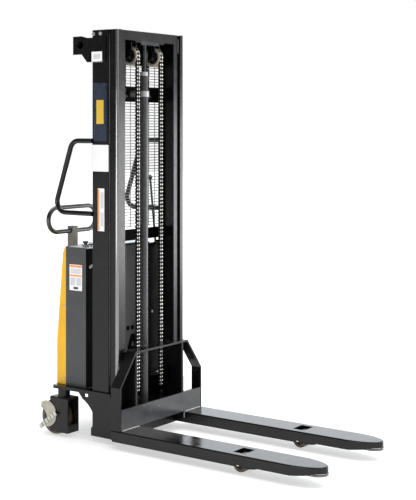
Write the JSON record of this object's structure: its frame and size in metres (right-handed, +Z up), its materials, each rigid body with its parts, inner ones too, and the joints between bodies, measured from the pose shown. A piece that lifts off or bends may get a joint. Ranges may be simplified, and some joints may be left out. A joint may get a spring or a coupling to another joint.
{
  "type": "walkie stacker",
  "caption": "Pedestrian stacker with a two-stage chain-lifted mast, straddling forks over support legs, a rear power box, swivel casters and push handles.",
  "frame": {"origin": "on the floor, in the middle of the footprint", "axes": "+Z up, forks point to -Y, +X to the right seen from the forks"},
  "size_m": [0.66, 1.79, 2.08],
  "materials": {
    "frame_paint": "gloss dark grey paint",
    "fork_paint": "gloss dark grey paint",
    "box_paint": "satin slate grey",
    "cover_yellow": "gloss yellow",
    "panel_silver": "brushed",
    "black_plastic": "moulded",
    "chrome_rod": "polished",
    "bright_steel": "zinc plated",
    "chain_steel": "oiled",
    "mesh_wire": "plated wire",
    "pump_metal": "cast",
    "hose_rubber": "matte",
    "nylon": "cast nylon",
    "pulley_iron": "machined",
    "brake_cream": "zinc plated, cream tint"
  },
  "bodies": {
    "chassis": {"base_beam": "frame_paint", "battery": "black_plastic", "caster_mounts": "frame_paint", "chain_anchors_rear": "frame_paint", "console_panel": "panel_silver", "control_cable": "hose_rubber", "cylinder_barrel": "frame_paint", "cylinder_clamp": "bright_steel", "cylinder_gland": "chrome_rod", "fasteners": "bright_steel", "guide_pads": "nylon", "handle_post": "frame_paint", "hydraulic_hose": "hose_rubber", "lifting_lugs": "frame_paint", "load_wheel_axles": "bright_steel", "mast_crossmembers": "frame_paint", "mast_plates": "frame_paint", "mesh_guard": "mesh_wire", "outer_rail_left": "frame_paint", "outer_rail_right": "frame_paint", "power_box": "box_paint", "pump_cover": "frame_paint", "pump_unit": "pump_metal", "push_loop": "bright_steel", "rear_chains": "chain_steel", "rear_cover": "cover_yellow", "shelf_plate": "frame_paint", "side_handle_left": "frame_paint", "side_handle_right": "frame_paint", "side_plate_left": "frame_paint", "side_plate_right": "frame_paint", "support_leg_left": "frame_paint", "support_leg_right": "frame_paint"},
    "inner_mast": {"inner_rail_left": "frame_paint", "inner_rail_right": "frame_paint", "inner_crossmembers": "frame_paint", "pulley_supports": "frame_paint", "piston_rod": "chrome_rod", "front_chains": "chain_steel"},
    "carriage": {"carriage_frame": "frame_paint", "backrest": "frame_paint", "fork_left": "fork_paint", "fork_right": "fork_paint", "chain_anchors_front": "frame_paint"},
    "chain_pulley_left": {"chain_pulley_left": "pulley_iron"},
    "chain_pulley_right": {"chain_pulley_right": "pulley_iron"},
    "mast_rollers": {"mast_rollers": "bright_steel"},
    "carriage_rollers_lower": {"carriage_rollers_lower": "bright_steel"},
    "carriage_rollers_upper": {"carriage_rollers_upper": "bright_steel"},
    "load_wheel_left": {"load_wheel_left": "nylon"},
    "load_wheel_right": {"load_wheel_right": "nylon"},
    "caster_left": {"caster_yoke_left": "frame_paint"},
    "caster_right": {"caster_yoke_right": "frame_paint"},
    "caster_wheel_left": {"caster_wheel_left": "nylon"},
    "caster_wheel_right": {"caster_wheel_right": "nylon"},
    "caster_brake_left": {"caster_brake_left": "brake_cream"},
    "caster_brake_right": {"caster_brake_right": "brake_cream"},
    "lift_lever": {"lift_lever": "bright_steel"},
    "key_switch": {"key_switch": "black_plastic"},
    "stop_button": {"stop_button": "black_plastic"}
  },
  "joints": [
    {"name": "mast_lift", "type": "slide", "parent": "chassis", "child": "inner_mast", "axis": [0, 0, 1], "range_m": [0, 1.45], "deforming": ["rear_chains"]},
    {"name": "carriage_lift", "type": "slide", "parent": "inner_mast", "child": "carriage", "axis": [0, 0, 1], "range_m": [0, 1.45], "deforming": ["front_chains"]},
    {"name": "pulley_spin_left", "type": "hinge", "parent": "inner_mast", "child": "chain_pulley_left", "pos_m": [-0.093, 0.381, 1.957], "axis": [1, 0, 0], "continuous": true},
    {"name": "pulley_spin_right", "type": "hinge", "parent": "inner_mast", "child": "chain_pulley_right", "pos_m": [0.093, 0.381, 1.957], "axis": [1, 0, 0], "continuous": true},
    {"name": "mast_roller_spin", "type": "hinge", "parent": "inner_mast", "child": "mast_rollers", "pos_m": [0, 0.38, 0.15], "axis": [1, 0, 0], "continuous": true},
    {"name": "lower_roller_spin", "type": "hinge", "parent": "carriage", "child": "carriage_rollers_lower", "pos_m": [0, 0.382, 0.15], "axis": [1, 0, 0], "continuous": true},
    {"name": "upper_roller_spin", "type": "hinge", "parent": "carriage", "child": "carriage_rollers_upper", "pos_m": [0, 0.382, 0.41], "axis": [1, 0, 0], "continuous": true},
    {"name": "load_wheel_spin_left", "type": "hinge", "parent": "chassis", "child": "load_wheel_left", "pos_m": [-0.255, -0.446, 0.04], "axis": [1, 0, 0], "continuous": true},
    {"name": "caster_swivel_left", "type": "hinge", "parent": "chassis", "child": "caster_left", "pos_m": [-0.258, 0.691, 0.2], "axis": [0, 0, 1], "continuous": true},
    {"name": "caster_wheel_spin_left", "type": "hinge", "parent": "caster_left", "child": "caster_wheel_left", "pos_m": [-0.258, 0.739, 0.09], "axis": [1, 0, 0], "continuous": true},
    {"name": "brake_pedal_left", "type": "hinge", "parent": "caster_left", "child": "caster_brake_left", "pos_m": [-0.302, 0.728, 0.104], "axis": [1, 0, 0], "range_deg": [0, 22]},
    {"name": "load_wheel_spin_right", "type": "hinge", "parent": "chassis", "child": "load_wheel_right", "pos_m": [0.255, -0.446, 0.04], "axis": [1, 0, 0], "continuous": true},
    {"name": "caster_swivel_right", "type": "hinge", "parent": "chassis", "child": "caster_right", "pos_m": [0.258, 0.691, 0.2], "axis": [0, 0, 1], "continuous": true},
    {"name": "caster_wheel_spin_right", "type": "hinge", "parent": "caster_right", "child": "caster_wheel_right", "pos_m": [0.258, 0.739, 0.09], "axis": [1, 0, 0], "continuous": true},
    {"name": "brake_pedal_right", "type": "hinge", "parent": "caster_right", "child": "caster_brake_right", "pos_m": [0.302, 0.728, 0.104], "axis": [1, 0, 0], "range_deg": [0, 22]},
    {"name": "lift_lever_tilt", "type": "hinge", "parent": "chassis", "child": "lift_lever", "pos_m": [0.24, 0.49, 0.96], "axis": [-1, 0, 0], "range_deg": [-4, 12], "stiffness_Nm_per_rad": 8},
    {"name": "key_turn", "type": "hinge", "parent": "chassis", "child": "key_switch", "pos_m": [-0.195, 0.564, 0.982], "axis": [0, 0, 1], "range_deg": [0, 90]},
    {"name": "stop_press", "type": "slide", "parent": "chassis", "child": "stop_button", "axis": [0, 0, -1], "range_m": [0, 0.004], "stiffness_N_per_m": 400}
  ],
  "couplings": [
    {"joint": "carriage_lift", "follows": "mast_lift", "ratio": 1},
    {"joint": "pulley_spin_left", "follows": "mast_lift", "rad_per_m": -22.222},
    {"joint": "pulley_spin_right", "follows": "mast_lift", "rad_per_m": -22.222},
    {"joint": "mast_roller_spin", "follows": "mast_lift", "rad_per_m": -20.243},
    {"joint": "lower_roller_spin", "follows": "mast_lift", "rad_per_m": -24.096},
    {"joint": "upper_roller_spin", "follows": "mast_lift", "rad_per_m": 24.096}
  ]
}
